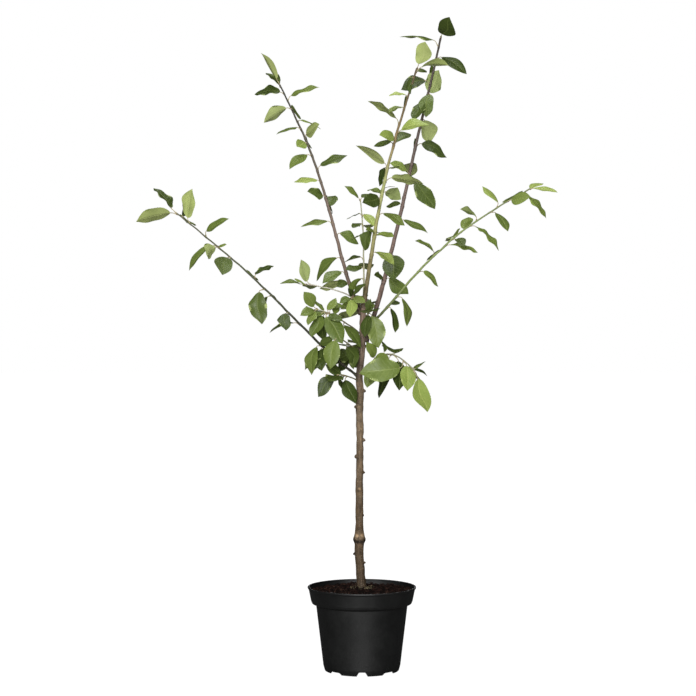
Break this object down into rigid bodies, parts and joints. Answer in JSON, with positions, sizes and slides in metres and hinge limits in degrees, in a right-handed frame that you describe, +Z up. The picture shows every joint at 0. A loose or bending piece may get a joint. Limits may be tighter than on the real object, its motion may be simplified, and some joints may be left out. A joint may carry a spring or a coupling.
{
  "type": "potted young plum tree",
  "caption": "Young plum tree with a slim straight trunk, an open head of rising leafy shoots and a round black nursery pot filled with compost.",
  "frame": {"origin": "centre of the pot's flat underside", "axes": "+Z up along the trunk, -Y towards the viewer of the picture, +X to the right"},
  "size_m": [0.8299, 0.4728, 1.3762],
  "materials": {
    "pot_plastic": "matt black moulded plastic",
    "compost": "loose crumbly potting compost",
    "bark": "thin grey-brown bark",
    "foliage": "green leaves on thin shoots"
  },
  "bodies": {
    "root": {"pot": "pot_plastic", "compost": "compost", "trunk": "bark", "bough_leader": "bark", "bough_left_low": "bark", "bough_left_upper": "bark", "bough_right_upper": "bark", "bough_right_low": "bark", "foliage_left_low": "foliage", "foliage_left_upper": "foliage", "foliage_leader": "foliage", "foliage_right_upper": "foliage", "foliage_right_low": "foliage", "foliage_inner_twig": "foliage", "foliage_left_spur": "foliage", "foliage_left_cluster": "foliage", "foliage_low_cluster": "foliage", "foliage_low_spur": "foliage", "foliage_right_spur": "foliage", "foliage_front_cluster": "foliage", "foliage_fork_cluster": "foliage", "foliage_back_low": "foliage", "foliage_back_high": "foliage"}
  },
  "joints": []
}
